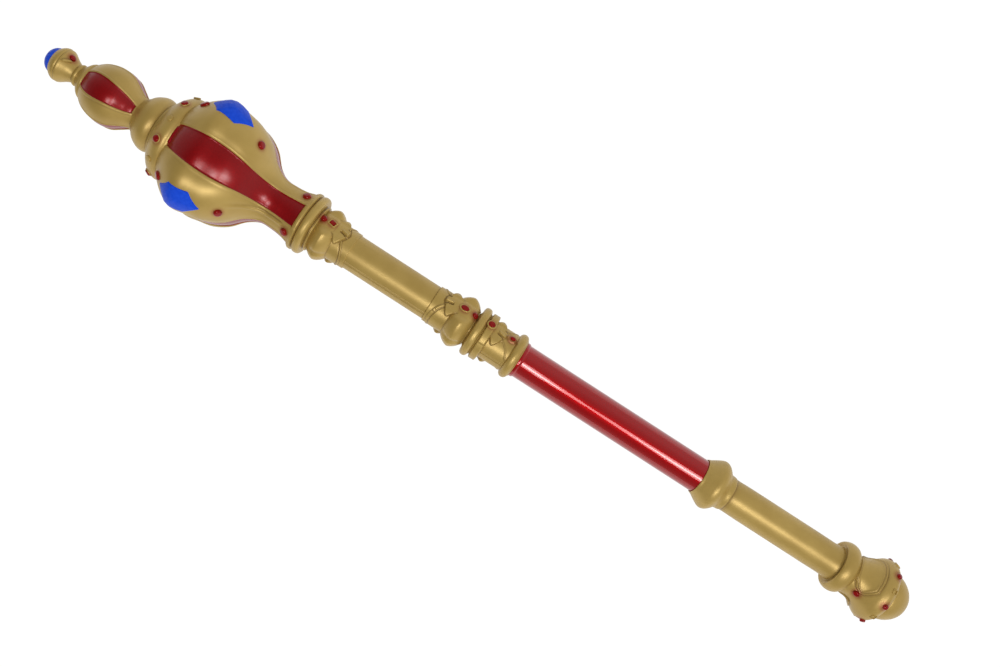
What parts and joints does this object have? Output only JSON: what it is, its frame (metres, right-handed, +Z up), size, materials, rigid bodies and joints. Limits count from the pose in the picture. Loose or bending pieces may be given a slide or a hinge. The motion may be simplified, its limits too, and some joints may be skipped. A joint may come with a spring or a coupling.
{
  "type": "toy sceptre",
  "caption": "Toy royal sceptre with a lobed bulb head, onion finial, carved knuckles, a red tube and a flared pommel, lying down.",
  "frame": {"origin": "on the table, at the bottom centre of the object's box as it lies", "axes": "+X along the sceptre towards the pommel, the tip towards -X; +Z up from the table; the front of the mouldings faces up"},
  "size_m": [0.5304, 0.064, 0.0627],
  "materials": {
    "gold_paint": "satin gold paint on moulded plastic",
    "red_metallic_lacquer": "glossy red lacquer on a smooth plastic tube",
    "red_gem_paint": "glossy dark red paint on moulded stripes and gems",
    "blue_gem_paint": "glossy blue paint on moulded gems and the tip"
  },
  "bodies": {
    "root": {"head_moulding": "gold_paint", "red_tube": "red_metallic_lacquer", "grip_moulding": "gold_paint"}
  },
  "joints": []
}
